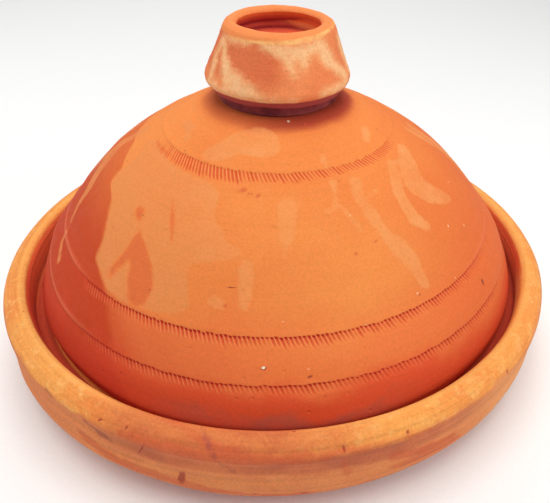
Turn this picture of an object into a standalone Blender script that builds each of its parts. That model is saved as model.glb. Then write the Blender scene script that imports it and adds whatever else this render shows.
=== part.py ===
"""Clay tagine: a shallow cooking dish with a domed lid seated inside its rim.

The lid is thrown in two pieces, a dome and a hollow knob, luted together with a collar of slip.
Lengths below are in millimetres; the scene is in metres with +Z up. The origin is the middle of the
dish's foot, on the table. Every piece is turned about the Z axis.
"""

import math

import bpy
from mathutils import Vector
from mathutils.geometry import interpolate_bezier

MM = 0.001

# Driving dimensions, in millimetres.
SEAT_GAP = 0.4              # clearance between pieces that rest on each other

DISH_RADIUS = 150.0         # widest, on the rolled lip
LIP_INNER_RADIUS = 138.0
LIP_HEIGHT = 50.0           # inner edge of the lip above the table
LIP_CROWN = 1.5             # how far the lip rises above its inner edge
FOOT_RADIUS = 117.0
FLOOR_THICKNESS = 9.0
FLOOR_RADIUS = 100.0        # flat part of the cooking floor
FLOOR_FILLET = 14.0
LEDGE_HEIGHT = 33.6         # ledge inside the dish that carries the lid
LEDGE_INNER_RADIUS = 121.0
LEDGE_OUTER_RADIUS = 133.5

LID_RADIUS = 132.3          # widest, just below the lip's inner edge
LID_RIM_HEIGHT = LEDGE_HEIGHT + SEAT_GAP
LID_WALL = 8.0
DOME_HEIGHT = 141.3         # outside of the crown above the table

KNOB_TOP = 175.0
KNOB_BASE = 143.0
KNOB_RADIUS = 35.9          # widest, near its base
KNOB_BASE_RADIUS = 33.2
KNOB_MOUTH_RADIUS = 19.6
KNOB_CUP_FLOOR = 163.0
KNOB_HOLLOW_RADIUS = 19.0   # hollow under the cup, over the crown of the dome
KNOB_HOLLOW_TOP = 153.0

COLLAR_INNER_RADIUS = 20.5
COLLAR_OUTER_RADIUS = 29.4
COLLAR_WAIST = 0.9          # how far the collar is hollowed between dome and knob

LARGE_SEGMENTS = 72
SMALL_SEGMENTS = 48
MERGE_DISTANCE = 0.00001


def clear_scene():
    """Remove every object from the scene."""
    for old in list(bpy.data.objects):
        bpy.data.objects.remove(old, do_unlink=True)


def make_collection(name):
    """A new collection linked to the scene."""
    collection = bpy.data.collections.new(name)
    bpy.context.scene.collection.children.link(collection)
    return collection


def make_clay(name, colour, roughness):
    """Unglazed fired clay of one colour."""
    material = bpy.data.materials.new(name)
    material.use_nodes = True
    shader = material.node_tree.nodes["Principled BSDF"]
    shader.inputs["Base Color"].default_value = (*colour, 1.0)
    shader.inputs["Roughness"].default_value = roughness
    shader.inputs["Metallic"].default_value = 0.0
    material.diffuse_color = (*colour, 1.0)
    return material


def dish_clay():
    """Pale, sandy orange of the dish."""
    return make_clay("dish_clay", (0.72, 0.29, 0.11), 0.88)


def dome_clay():
    """Redder orange of the dome."""
    return make_clay("dome_clay", (0.74, 0.23, 0.075), 0.82)


def knob_clay():
    """Orange clay of the knob, greyed by a lime bloom."""
    return make_clay("knob_clay", (0.70, 0.31, 0.15), 0.9)


def collar_clay():
    """Dark, smeared slip in the joint under the knob."""
    return make_clay("collar_clay", (0.30, 0.075, 0.06), 0.9)


def smooth_curve(points, steps):
    """Points along a smooth curve through the given (radius, height) points.

    Each span is a Bezier whose handles follow the chord between its neighbours.
    """
    knots = [Vector((radius, height, 0.0)) for radius, height in points]
    curve = []
    for index in range(len(knots) - 1):
        start, end = knots[index], knots[index + 1]
        before = knots[max(index - 1, 0)]
        after = knots[min(index + 2, len(knots) - 1)]
        reach = (end - start).length / 3.0
        handle_out = start + (end - before).normalized() * reach
        handle_in = end - (after - start).normalized() * reach
        span = interpolate_bezier(start, handle_out, handle_in, end, steps + 1)
        curve.extend((point.x, point.y) for point in span[:-1])
    curve.append(tuple(points[-1]))
    return curve


def arc(centre_radius, centre_height, size, start_degrees, end_degrees, steps):
    """Points on an arc in the (radius, height) plane."""
    points = []
    for step in range(steps + 1):
        angle = math.radians(start_degrees + (end_degrees - start_degrees) * step / steps)
        points.append((centre_radius + size * math.cos(angle), centre_height + size * math.sin(angle)))
    return points


def offset_curve(curve, distance):
    """The curve moved sideways, towards the right of its direction of travel."""
    moved = []
    for index, (radius, height) in enumerate(curve):
        before = Vector(curve[max(index - 1, 0)])
        after = Vector(curve[min(index + 1, len(curve) - 1)])
        along = (after - before).normalized()
        moved.append((radius + along.y * distance, height - along.x * distance))
    return moved


def height_on(curve, radius):
    """Height of a curve, run from the axis outwards, at one radius."""
    for (inner, inner_height), (outer, outer_height) in zip(curve, curve[1:]):
        if inner <= radius <= outer:
            share = (radius - inner) / (outer - inner)
            return inner_height + share * (outer_height - inner_height)
    raise ValueError("radius is off the curve")


def turn(name, profile, segments, material, collection, closed=False):
    """Turn a (radius, height) profile about Z. It runs down its outer side, top to bottom."""
    mesh = bpy.data.meshes.new(name)
    vertices = [(radius * MM, 0.0, height * MM) for radius, height in profile]
    edges = [(index, index + 1) for index in range(len(profile) - 1)]
    if closed:
        edges.append((len(profile) - 1, 0))
    mesh.from_pydata(vertices, edges, [])
    piece = bpy.data.objects.new(name, mesh)
    collection.objects.link(piece)
    screw = piece.modifiers.new("turning", "SCREW")
    screw.axis = "Z"
    screw.angle = math.tau
    screw.steps = segments
    screw.render_steps = segments
    screw.use_merge_vertices = True
    screw.merge_threshold = MERGE_DISTANCE
    return finish_turning(piece, material)


def finish_turning(piece, material):
    """Keep the turned surface as the piece's mesh, shade it smooth and give it its clay."""
    evaluated = piece.evaluated_get(bpy.context.evaluated_depsgraph_get())
    turned = bpy.data.meshes.new_from_object(evaluated)
    profile_mesh = piece.data
    piece.modifiers.clear()
    piece.data = turned
    bpy.data.meshes.remove(profile_mesh)
    turned.name = piece.name
    turned.materials.clear()
    turned.materials.append(material)
    turned.shade_smooth()
    turned.set_sharp_from_angle(angle=math.radians(50.0))
    return piece


def dome_outside():
    """Outside of the dome, from the middle of its crown down to its widest line."""
    return smooth_curve(
        [(0.0, DOME_HEIGHT), (15.0, 140.6), (30.0, 137.5), (48.0, 130.0), (68.6, 119.0), (88.4, 105.2),
         (102.2, 91.4), (113.4, 77.6), (122.2, 66.0), (128.4, 53.6), (LID_RADIUS, 43.0)], 2)


def build_base_dish(collection):
    """Shallow dish: cooking floor, ledge for the lid, thick rolled lip and trimmed foot."""
    floor = [(0.0, FLOOR_THICKNESS)]
    floor += arc(FLOOR_RADIUS, FLOOR_THICKNESS + FLOOR_FILLET, FLOOR_FILLET, -90.0, -15.0, 4)
    ledge = [(LEDGE_INNER_RADIUS - 1.6, LEDGE_HEIGHT - 1.4), (LEDGE_INNER_RADIUS, LEDGE_HEIGHT)]
    ledge += [(LEDGE_OUTER_RADIUS, LEDGE_HEIGHT), (LEDGE_OUTER_RADIUS + 2.1, LEDGE_HEIGHT + 1.9)]
    lip = smooth_curve(
        [(136.4, LIP_HEIGHT - 4.0), (LIP_INNER_RADIUS, LIP_HEIGHT), (141.0, LIP_HEIGHT + LIP_CROWN),
         (145.5, LIP_HEIGHT - 0.4), (149.1, LIP_HEIGHT - 4.3), (DISH_RADIUS, LIP_HEIGHT - 8.6)], 2)
    wall = smooth_curve(
        [(DISH_RADIUS, LIP_HEIGHT - 8.6), (148.8, 31.5), (148.5, 24.0), (146.2, 16.8), (142.0, 12.0)], 2)
    foot = [(132.0, 6.4), (FOOT_RADIUS + 1.6, 0.5), (FOOT_RADIUS, 0.0), (0.0, 0.0)]
    profile = floor + ledge + lip + wall[1:] + foot
    return turn("base_dish", profile, LARGE_SEGMENTS, dish_clay(), collection)


def build_lid_dome(collection):
    """Domed lid of even wall, with a flat rim that stands on the dish's ledge."""
    outside = dome_outside()
    inside = offset_curve(outside, LID_WALL)
    inside[0] = (0.0, DOME_HEIGHT - LID_WALL)
    rim = [(131.2, LID_RIM_HEIGHT + 3.4), (128.6, LID_RIM_HEIGHT + 0.6), (127.0, LID_RIM_HEIGHT)]
    rim += [(122.6, LID_RIM_HEIGHT), (121.4, LID_RIM_HEIGHT + 1.2)]
    profile = outside + rim + inside[::-1]
    return turn("lid_dome", profile, LARGE_SEGMENTS, dome_clay(), collection)


def build_lid_knob(collection):
    """Flared knob with a shallow cup in its top, hollow underneath."""
    cup = [(0.0, KNOB_CUP_FLOOR), (18.5, KNOB_CUP_FLOOR), (21.4, KNOB_CUP_FLOOR + 1.8)]
    cup += [(21.6, KNOB_CUP_FLOOR + 5.0)]
    top = smooth_curve(
        [(20.6, KNOB_TOP - 4.4), (KNOB_MOUTH_RADIUS, KNOB_TOP - 2.1), (22.6, KNOB_TOP),
         (26.6, KNOB_TOP - 2.7), (28.6, KNOB_TOP - 7.7)], 2)
    side = smooth_curve(
        [(28.6, KNOB_TOP - 7.7), (31.4, 159.5), (34.3, 153.5), (KNOB_RADIUS, 148.5),
         (34.9, 145.0), (KNOB_BASE_RADIUS, KNOB_BASE)], 2)
    underside = [(KNOB_HOLLOW_RADIUS + 1.0, KNOB_BASE), (KNOB_HOLLOW_RADIUS, KNOB_BASE + 1.0)]
    underside += [(KNOB_HOLLOW_RADIUS - 1.0, KNOB_HOLLOW_TOP - 2.0), (KNOB_HOLLOW_RADIUS - 4.0, KNOB_HOLLOW_TOP)]
    underside += [(0.0, KNOB_HOLLOW_TOP)]
    profile = cup + top + side[1:] + underside
    return turn("lid_knob", profile, SMALL_SEGMENTS, knob_clay(), collection)


def build_luting_collar(collection):
    """Collar of slip between the dome's shoulder and the underside of the knob."""
    dome = dome_outside()
    top = KNOB_BASE - SEAT_GAP
    waist = (COLLAR_OUTER_RADIUS - COLLAR_WAIST, (top + height_on(dome, COLLAR_OUTER_RADIUS)) / 2.0)
    profile = [(COLLAR_INNER_RADIUS, top), (COLLAR_OUTER_RADIUS, top), waist]
    for share in (1.0, 0.5, 0.0):
        radius = COLLAR_INNER_RADIUS + share * (COLLAR_OUTER_RADIUS - COLLAR_INNER_RADIUS)
        profile.append((radius, height_on(dome, radius) + SEAT_GAP))
    return turn("knob_luting_collar", profile, SMALL_SEGMENTS, collar_clay(), collection, closed=True)


def place_lid(pieces, collection):
    """Hang the lid's pieces on one empty, on the axis along which the lid lifts."""
    lift = bpy.data.objects.new("lid_lift_axis", None)
    lift.empty_display_size = 20.0 * MM
    collection.objects.link(lift)
    for piece in pieces:
        piece.parent = lift


def main():
    clear_scene()
    tagine = make_collection("tagine_pot")
    build_base_dish(tagine)
    lid = [build_lid_dome(tagine), build_lid_knob(tagine), build_luting_collar(tagine)]
    place_lid(lid, tagine)


main()
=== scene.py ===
"""Unglazed clay tagine: the looks of the dish, the domed lid, its knob and the ring of slip under the knob.

Each piece is a turned clay wall with the tool marks, dents and stains of a hand-made pot.
Shapes are worked out in millimetres and turn into metres when a mesh is made. Materials work in metres.
An azimuth is the angle round the pot in degrees: 0 faces the viewer (-Y), 90 faces +X.
"""

import math
from collections import namedtuple

import bpy
import numpy as np
from mathutils import Matrix, Vector


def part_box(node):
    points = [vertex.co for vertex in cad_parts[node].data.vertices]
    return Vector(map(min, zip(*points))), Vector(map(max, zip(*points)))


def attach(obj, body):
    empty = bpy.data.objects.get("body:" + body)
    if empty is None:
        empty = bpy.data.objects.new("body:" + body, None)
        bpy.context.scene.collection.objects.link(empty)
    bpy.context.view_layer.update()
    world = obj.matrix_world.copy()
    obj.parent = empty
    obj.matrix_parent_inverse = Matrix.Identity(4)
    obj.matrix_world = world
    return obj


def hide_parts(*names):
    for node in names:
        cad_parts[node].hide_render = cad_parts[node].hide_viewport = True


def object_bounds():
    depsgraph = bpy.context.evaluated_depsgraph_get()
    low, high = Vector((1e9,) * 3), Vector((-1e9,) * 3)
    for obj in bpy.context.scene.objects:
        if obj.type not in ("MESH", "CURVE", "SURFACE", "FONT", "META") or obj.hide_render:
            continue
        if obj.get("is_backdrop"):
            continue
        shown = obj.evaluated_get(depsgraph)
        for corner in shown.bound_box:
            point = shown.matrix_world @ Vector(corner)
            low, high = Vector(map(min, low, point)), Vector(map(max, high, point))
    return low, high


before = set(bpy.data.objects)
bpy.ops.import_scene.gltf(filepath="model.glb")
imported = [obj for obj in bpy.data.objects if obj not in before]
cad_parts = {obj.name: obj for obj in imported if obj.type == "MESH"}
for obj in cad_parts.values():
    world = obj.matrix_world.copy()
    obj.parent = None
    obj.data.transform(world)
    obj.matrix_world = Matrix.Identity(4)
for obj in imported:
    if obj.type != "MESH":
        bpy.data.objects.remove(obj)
CAD_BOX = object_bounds()

MM = 0.001
TURN = 2.0 * math.pi


# -------- sizes taken from the fixed frame


def node_size(node):
    """Lowest height, highest height and outer radius of a CAD node, in mm."""
    low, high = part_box(node)
    return low.z / MM, high.z / MM, (high.x - low.x) / 2.0 / MM


DISH_FOOT, DISH_TOP, DISH_RADIUS = node_size("base_dish")
DOME_RIM, DOME_TOP, DOME_RADIUS = node_size("lid_dome")
KNOB_BASE, KNOB_TOP, KNOB_RADIUS = node_size("lid_knob")
_, COLLAR_TOP, COLLAR_RADIUS = node_size("knob_luting_collar")

# places where two stretches of an outline meet, as (radius, height)
DOME_FOOT = (DOME_RADIUS, 43.0)
SEAT_OUTER = (127.0, DOME_RIM)
SEAT_INNER = (121.4, 35.2)
LEDGE_INNER = (119.4, 32.2)
LEDGE_OUTER = (135.6, 35.5)
DISH_WIDEST = (DISH_RADIUS, 41.4)
DISH_CORNER = (118.6, 0.5)
CUP_NECK = (21.6, 168.0)
KNOB_SHOULDER = (28.6, 167.3)
KNOB_FOOT = (32.4, KNOB_BASE)

# outlines as (radius, height): each is a smooth curve through its points
DOME_OUTSIDE = (
    (0.0, DOME_TOP), (15.0, DOME_TOP - 0.7), (30.0, 137.5), (48.0, 130.0), (68.6, 119.0), (88.4, 105.2),
    (102.2, 91.4), (113.4, 77.6), (122.2, 66.0), (128.4, 53.6), DOME_FOOT,
)
DOME_EDGE = (DOME_FOOT, (131.2, 37.4), (128.6, 34.6), SEAT_OUTER)
DOME_SEAT = (SEAT_OUTER, (122.6, DOME_RIM), SEAT_INNER)
DOME_WALL = 8.0

DISH_FLOOR = (
    (0.0, 9.0), (60.0, 9.0), (100.0, 9.0), (106.3, 10.8), (111.3, 15.0), (113.6, 19.4), LEDGE_INNER,
)
DISH_LEDGE = (LEDGE_INNER, (121.0, 33.6), (133.5, 33.6), LEDGE_OUTER)
DISH_LIP = (
    LEDGE_OUTER, (136.4, 46.0), (138.0, 50.0), (141.0, DISH_TOP), (145.5, 49.6), (149.1, 45.7), DISH_WIDEST,
)
DISH_OUTER = (
    DISH_WIDEST, (148.8, 31.5), (148.5, 24.0), (146.2, 16.8), (142.0, 12.0), (132.0, 6.4), DISH_CORNER,
)
DISH_UNDER = (DISH_CORNER, (117.0, DISH_FOOT), (60.0, DISH_FOOT), (0.0, DISH_FOOT))

KNOB_CUP = ((0.0, 163.0), (10.0, 163.0), (18.5, 163.0), (21.4, 164.8), CUP_NECK)
KNOB_LIP = (
    CUP_NECK, (20.6, 170.6), (19.6, 172.9), (22.6, KNOB_TOP), (25.9, 173.6), (27.1, 171.6), KNOB_SHOULDER
)
KNOB_SIDE = (
    KNOB_SHOULDER, (31.8, 159.5), (34.5, 153.2), (KNOB_RADIUS, 149.2), (35.3, 146.9), (33.7, 145.0),
    KNOB_FOOT,
)
KNOB_UNDER = (KNOB_FOOT, (20.0, KNOB_BASE), (19.0, 144.0), (18.0, 151.0), (15.0, 153.0), (0.0, 153.0))

# points round the pot on one ring of each piece; hidden stretches have fewer
DOME_POINTS, DOME_EDGE_POINTS, DOME_HIDDEN_POINTS = 300, 180, 120
DISH_POINTS, DISH_HIDDEN_POINTS = 360, 180
KNOB_POINTS = 168
COLLAR_POINTS = 144


# -------- turned walls


class Outline:
    """A smooth outline that can be read at any distance along its length."""

    def __init__(self, *parts):
        points = np.concatenate([smooth(part) for part in parts])
        steps = np.hypot(*np.diff(points, axis=0).T)
        self.points = points[np.concatenate([[True], steps > 1e-6])]
        self.along = np.concatenate([[0.0], np.cumsum(np.hypot(*np.diff(self.points, axis=0).T))])
        self.length = float(self.along[-1])

    def at(self, where):
        """Radius and height at a distance along the outline."""
        return tuple(np.interp(where, self.along, values) for values in self.points.T)

    def normal(self, where, reach=0.4):
        """Unit normal on the left of the direction of travel."""
        r0, z0 = self.at(where - reach)
        r1, z1 = self.at(where + reach)
        size = np.hypot(r1 - r0, z1 - z0)
        return -(z1 - z0) / size, (r1 - r0) / size

    def find(self, height, start=0.0):
        """Distance along the outline at which it first passes a height after start."""
        for i in range(1, len(self.along)):
            z0, z1 = self.points[i - 1, 1], self.points[i, 1]
            if self.along[i] > start and min(z0, z1) <= height <= max(z0, z1) and z0 != z1:
                share = (height - z0) / (z1 - z0)
                return float(self.along[i - 1] + share * (self.along[i] - self.along[i - 1]))
        return self.length


def smooth(points, step=0.15):
    """A curve through the points whose slope at each one follows its neighbours."""
    p = np.array(points, float)
    tangents = np.zeros_like(p)
    tangents[1:-1] = (p[2:] - p[:-2]) / 2.0
    tangents[0] = p[1] - p[0]
    tangents[-1] = p[-1] - p[-2]
    out = []
    for i in range(len(p) - 1):
        chord = np.linalg.norm(p[i + 1] - p[i])
        before = tangents[i] / max(np.linalg.norm(tangents[i]), 1e-9) * chord
        after = tangents[i + 1] / max(np.linalg.norm(tangents[i + 1]), 1e-9) * chord
        t = np.linspace(0.0, 1.0, max(2, int(chord / step) + 1))[:, None]
        curve = (2 * t**3 - 3 * t**2 + 1) * p[i] + (t**3 - 2 * t**2 + t) * before
        out.append(curve + (-2 * t**3 + 3 * t**2) * p[i + 1] + (t**3 - t**2) * after)
    return np.concatenate(out)


# One ring of points: its distance along the outline, its number of points, how far it is turned and the
# number of its tool band, or -1
Ring = namedtuple("Ring", "where count turn band", defaults=(0.0, -1))


def rows(start, end, step, count, turn=0.0):
    """Rings at even distances."""
    return [Ring(w, count, turn) for w in evenly(start, end, step)]


def evenly(start, end, step):
    """Places from start to end, start included and end left out."""
    count = max(1, round((end - start) / step))
    return [start + (end - start) * i / count for i in range(count)]


class Wall:
    """The points of a turned wall, with the values that its shape and colours are worked out from."""

    def __init__(self, outline, rings):
        self.outline = outline
        self.rings = rings
        counts = [ring.count for ring in rings]
        self.where, count, turn, self.band = (np.repeat(values, counts) for values in zip(*rings))
        self.column = np.concatenate([np.arange(number) for number in counts])
        self.angle = turn + TURN * self.column / count
        self.radius, self.height = outline.at(self.where)
        self.azimuth = (np.degrees(self.angle) + 180.0) % 360.0 - 180.0
        self.push = np.zeros(len(self.where))

    def ripples(self, seed, turns, length, count=14):
        return ripples(seed, turns, length, count)(self.angle, self.where)

    def shift(self, distance):
        """Slides the points along the outline."""
        self.where = self.where + distance
        self.radius, self.height = self.outline.at(self.where)

    def place(self, share=1.0):
        """Points in mm, pushed along the outline's normal."""
        nr, nz = self.outline.normal(self.where)
        radius = self.radius + self.push * nr * share
        height = self.height + self.push * nz * share
        return np.stack([radius * np.sin(self.angle), -radius * np.cos(self.angle), height], axis=1)

    def faces(self):
        faces = []
        start = 0
        for upper, lower in zip(self.rings[:-1], self.rings[1:]):
            below = start + upper.count
            faces += between(start, upper, below, lower)
            start = below
        return faces


def between(a, upper, b, lower):
    """Faces between two rings that start at points a and b."""
    n, m = upper.count, lower.count
    if n == 1:
        return [(a, b + j, b + (j + 1) % m) for j in range(m)]
    if m == 1:
        return [(a + i, b, a + (i + 1) % n) for i in range(n)]
    if n == m:
        return [(a + i, b + i, b + (i + 1) % n, a + (i + 1) % n) for i in range(n)]
    return zipper(a, upper, b, lower)


def zipper(a, upper, b, lower):
    """Triangles between rings with different numbers of points."""
    n, m = upper.count, lower.count
    first = round((upper.turn - lower.turn) / TURN * m)
    i, j = 0, first
    faces = []
    while i < n or j < first + m:
        next_upper = upper.turn + TURN * (i + 1) / n
        next_lower = lower.turn + TURN * (j + 1) / m
        if j >= first + m or (i < n and next_upper <= next_lower):
            faces.append((a + i % n, b + j % m, a + (i + 1) % n))
            i += 1
        else:
            faces.append((a + i % n, b + j % m, b + (j + 1) % m))
            j += 1
    return faces


def ripples(seed, turns, length, count=14):
    """Smooth random waves that close up round the pot, read by angle and distance; mostly within 1."""
    rng = np.random.default_rng(seed)
    numbers = rng.integers(0, turns + 1, count)
    slopes = rng.normal(0.0, TURN / length, count)
    phases = rng.uniform(0.0, TURN, count)

    def read(angle, where):
        waves = zip(numbers, slopes, phases)
        total = sum(np.cos(number * angle + slope * where + phase) for number, slope, phase in waves)
        return total / math.sqrt(count) / 1.2

    return read


def ease(value, low, high):
    """0 below low, 1 above high, smooth between. low may be above high."""
    t = np.clip((value - low) / (high - low), 0.0, 1.0)
    return t * t * (3.0 - 2.0 * t)


def hump(distance, width):
    """1 where the distance is 0, fading out over the width on both sides."""
    return np.exp(-((distance / width) ** 2))


def on_surface(outline, azimuth, height, start=0.0):
    radius, _ = outline.at(outline.find(height, start))
    a = math.radians(azimuth)
    return np.array([radius * math.sin(a), -radius * math.cos(a), height])


# -------- painted areas and small marks

OUTSIDE = -30.0  # value of a painted area well away from it
CORNER_CUT = 0.22  # share of a side that is cut off at each corner of a painted area
MARK_KINDS = ("pit", "lime", "smear")
MARK_LIMIT = 9.0  # no point counts as further from a mark than this many times its size


def inside_strokes(points, outline, strokes, start=0.0):
    """How far each point is inside the nearest brushed stroke, in mm (negative outside).
    A stroke is a list of (azimuth, height, half width)."""
    best = np.full(len(points), 2.0 * OUTSIDE)
    for stroke in strokes:
        ends = [on_surface(outline, azimuth, height, start) for azimuth, height, _ in stroke]
        widths = [w for _, _, w in stroke]
        for p, q, wp, wq in zip(ends[:-1], ends[1:], widths[:-1], widths[1:]):
            line = q - p
            t = np.clip((points - p) @ line / float(line @ line), 0.0, 1.0)
            gap = np.linalg.norm(points - p - t[:, None] * line, axis=1)
            best = np.maximum(best, wp + (wq - wp) * t - gap)
    return best


def inside_shape(wall, outline, shape):
    """How far each point is inside a shape with (azimuth, height) corners, in mm (negative outside)."""
    middle = sum(h for _, h in shape) / len(shape)
    radius = float(outline.at(outline.find(middle))[0])
    corners = np.array([(math.radians(a) * radius, outline.find(h)) for a, h in shape])
    after = np.roll(corners, -1, axis=0)
    near, far = 1.0 - CORNER_CUT, CORNER_CUT
    corners = np.stack([corners * near + after * far, corners * far + after * near], 1).reshape(-1, 2)
    x = np.radians(wall.azimuth) * radius
    y = wall.where
    gap = np.full(len(x), np.inf)
    inside = np.zeros(len(x), bool)
    for p, q in zip(corners, np.roll(corners, -1, axis=0)):
        line = q - p
        t = np.clip(((x - p[0]) * line[0] + (y - p[1]) * line[1]) / float(line @ line), 0.0, 1.0)
        gap = np.minimum(gap, np.hypot(x - p[0] - t * line[0], y - p[1] - t * line[1]))
        crosses = (p[1] > y) != (q[1] > y)
        slope = line[0] / (line[1] if line[1] else 1e-9)
        inside ^= crosses & (x < p[0] + (y - p[1]) * slope)
    return np.where(inside, gap, -gap)


def place_marks(points, outline, marks, start=0.0):
    """Chips, scratches and specks: how deep each point is cut, in mm, and values that colour the marks.

    For each kind: the place in the nearest mark along and across it, 1 at its edge, and how near it is.
    """
    values = {}
    cut = np.zeros(len(points))
    for kind in MARK_KINDS:
        best = np.full(len(points), np.inf)
        along, across = np.full(len(points), MARK_LIMIT), np.full(len(points), MARK_LIMIT)
        near = np.zeros(len(points))
        for azimuth, height, tilt, length, width, depth in marks.get(kind, ()):
            nr, nz = outline.normal(outline.find(height, start))
            a, lean = math.radians(azimuth), math.radians(tilt)
            normal = np.array([nr * math.sin(a), -nr * math.cos(a), nz])
            side = np.array([math.cos(a), math.sin(a), 0.0])
            upward = np.cross(side, normal)
            upward = upward if upward[2] > 0.0 else -upward
            axis = math.cos(lean) * upward + math.sin(lean) * side
            beside = np.cross(axis, normal)
            away = points - on_surface(outline, azimuth, height, start)
            distance = np.linalg.norm(away, axis=1) - length
            mine = distance < best
            best[mine] = distance[mine]
            u, v = away @ axis / length, away @ beside / width
            along[mine] = np.clip(u, -MARK_LIMIT, MARK_LIMIT)[mine]
            across[mine] = np.clip(v, -MARK_LIMIT, MARK_LIMIT)[mine]
            near[mine] = ease(distance, 4.5, 2.2)[mine]
            cut = np.maximum(cut, depth * ease(np.hypot(u, v), 1.25, 0.4) * (distance < 3.0))
        values |= {kind + "_along": along, kind + "_across": across, kind + "_near": near}
    return values, cut


def make_piece(name, points, faces, values, body, node):
    """A mesh in metres with one value per point for each named attribute, which stands for a CAD node."""
    mesh = bpy.data.meshes.new(name)
    mesh.from_pydata((points * MM).tolist(), [], faces)
    mesh.validate()
    mesh.update()
    mesh.shade_smooth()
    for key, numbers in values.items():
        attribute = mesh.attributes.new(key, "FLOAT", "POINT")
        attribute.data.foreach_set("value", np.asarray(numbers, np.float32))
    piece = bpy.data.objects.new(name, mesh)
    bpy.context.scene.collection.objects.link(piece)
    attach(piece, body)
    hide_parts(node)
    return piece


# -------- lid dome

# Tooled bands. "across" is the depth profile of one mark, with a point of the ring for each number.
# "lean" is how far a mark leans sideways per mm down. The marks fade in over the azimuths of "left", fade
# to the share "least" over those of "right", and come back to the share "most" over those of "back".
# "again" is how much longer the band is where the tool went over it a second time.
BANDS = (
    dict(
        top=124.7, marks=207, across=(0, 0.4, 1, 1, 0.95, 0.2), length=5, depth=0.55,
        lean=0.45, left=(-72, -52), right=(74, 54), least=0, back=(95, 130),
        most=0.8, again=4.2,
    ),
    dict(
        top=77.8, marks=370, across=(0, 0.85, 1, 0.95, 0.35), length=5, depth=0.58,
        lean=0.42, left=(-64, -46), right=(66, 46), least=0.35, back=(105, 140),
        most=0.9, again=0,
    ),
    dict(
        top=61.3, marks=384, across=(0, 0.85, 1, 0.95, 0.35), length=4.6, depth=0.52,
        lean=0.42, left=(-56, -38), right=(68, 48), least=0.3, back=(110, 150),
        most=0.8, again=0,
    ),
)
BAND_LEAD, BAND_TAIL = 1, 1.6  # plain clay above and below the marks that the band's fine rings also cover
CROWN_HIDDEN = 24  # distance from the middle that the collar covers

# pale slip that ran down the lid: an area is a list of (azimuth, height), a stroke adds a half width to each
BIG_WASH = (
    (-73, 123), (-77, 120), (-70, 116), (-70, 110), (-69, 106), (-61, 104), (-57, 99), (-53, 92), (-53, 85),
    (-49, 84), (-45, 80), (-41, 79), (-36, 79), (-30, 80), (-24, 81), (-21, 84), (-22, 92), (-25, 98),
    (-17, 100), (-11, 102), (-11, 105), (-15, 106), (-17, 109), (-21, 111), (-22, 120), (-35, 121),
    (-60, 122),
)
# gaps in it that show the red clay
RED_GAPS = (
    (
        (-43, 103), (-41, 101), (-37, 98), (-33, 93), (-31, 86), (-33, 79), (-37, 80),
        (-39, 86), (-41, 93), (-43, 88), (-45, 82), (-46, 85), (-44, 94),
    ),
    ((-50, 107), (-45, 109), (-44, 103)),
    ((-39, 115), (-32, 103), (-30, 102), (-33, 109)),
)
PLAIN_GAP = ((-24, 97), (-15, 99), (-14, 89), (-16, 83), (-20, 84), (-23, 90))
SMALL_WASHES = (
    ((-1, 118), (6, 118), (5, 112), (4, 108), (2, 105), (1, 102), (0, 103), (-1, 112)),
    ((-11, 102), (-7, 101), (-7, 86), (-10, 86)),
    (
        (-41, 126), (-34, 131), (-29, 134), (-14, 136), (0, 134), (1, 130), (-9, 128), (-21, 129), (-25, 127),
        (-34, 125),
    ),
)
RUNS = (
    (
        (30, 120, 2.4), (28, 116, 2.8), (29, 112, 3), (30, 107, 3.2), (31, 103, 3.8), (33, 99, 4.6),
        (35, 92, 4.4), (36, 84, 2.6),
    ),
    ((52, 120, 2.8), (47, 116, 3.4), (44, 112, 3.6), (43, 108, 3.6), (43, 104, 3.8), (46, 100, 2.6)),
    ((66, 120, 4), (58, 116, 6.4), (54, 112, 7.2), (56, 108, 6.4), (60, 104, 4.6), (63, 101, 1.8)),
    ((52, 120, 2), (60, 118, 2)),
    ((-92, 109, 5.6), (-84, 100, 5.4), (-79, 94, 4), (-78, 89, 2.8), (-75, 83, 2.1)),
    ((-73, 79, 1.4), (-72, 75, 1.9), (-67, 71, 1.6)),
    ((-70, 130, 2.4), (-60, 130, 2.6), (-56, 128, 2)),
    ((-66, 133, 0.9), (-55, 133, 0.9)),
    ((-95, 124, 1.5), (-105, 127, 1.5)),
    ((21, 121, 1.3), (19, 116, 1.1)),
    ((22, 128, 1.1), (21, 125, 1)),
    ((15, 114, 1), (20, 115, 1.2), (24, 107, 0.9)),
    ((31, 115, 0.6), (36, 116, 0.7)),
    ((60, 130, 2.2), (52, 128, 2.4)),
    ((-16, 88, 2.4), (-14, 87, 2.4)),
)
# left of this line the lid has no pale slip and the clay is redder: (height, azimuth)
BLUSH_LINE = (
    (40, -30), (55, -36), (66, -37), (75, -42), (80, -45), (85, -51), (92, -53), (99, -57), (104, -61),
    (106, -69), (111, -71), (116, -84), (120, -150),
)
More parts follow.
